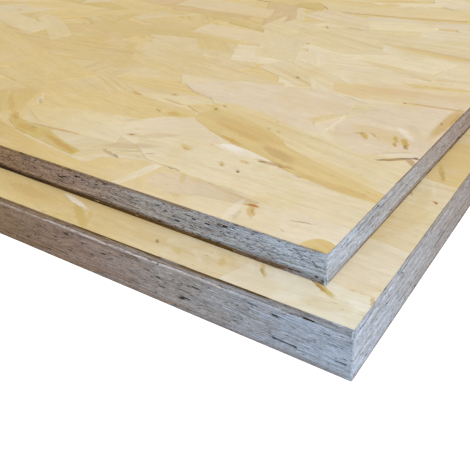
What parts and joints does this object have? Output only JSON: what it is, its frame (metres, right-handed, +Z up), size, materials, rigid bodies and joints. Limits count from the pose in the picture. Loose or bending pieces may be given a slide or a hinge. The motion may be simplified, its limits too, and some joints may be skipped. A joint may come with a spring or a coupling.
{
  "type": "stack of osb panels",
  "caption": "Full-size oriented strand board sheets lying flat in a loose stack: a thinner panel set back and slightly skewed on a thicker one, with grey sealed sawn edges.",
  "frame": {"origin": "centre of the lower panel's underside, on the level floor that the stack lies on", "axes": "+Z up through both sheets; +X along the lower sheet's length; +Y across it, away from the near long side"},
  "size_m": [2.4656, 1.2848, 0.029],
  "materials": {
    "strand_board": "unsanded pressed wood strands, matt, pale cream to straw with a few darker strands",
    "sealed_edge": "sawn strand ends under a thin grey edge sealer, matt, with dark voids and bare brown wood beside one arris"
  },
  "bodies": {
    "root": {"lower_panel": "strand_board", "upper_panel": "strand_board"}
  },
  "joints": []
}
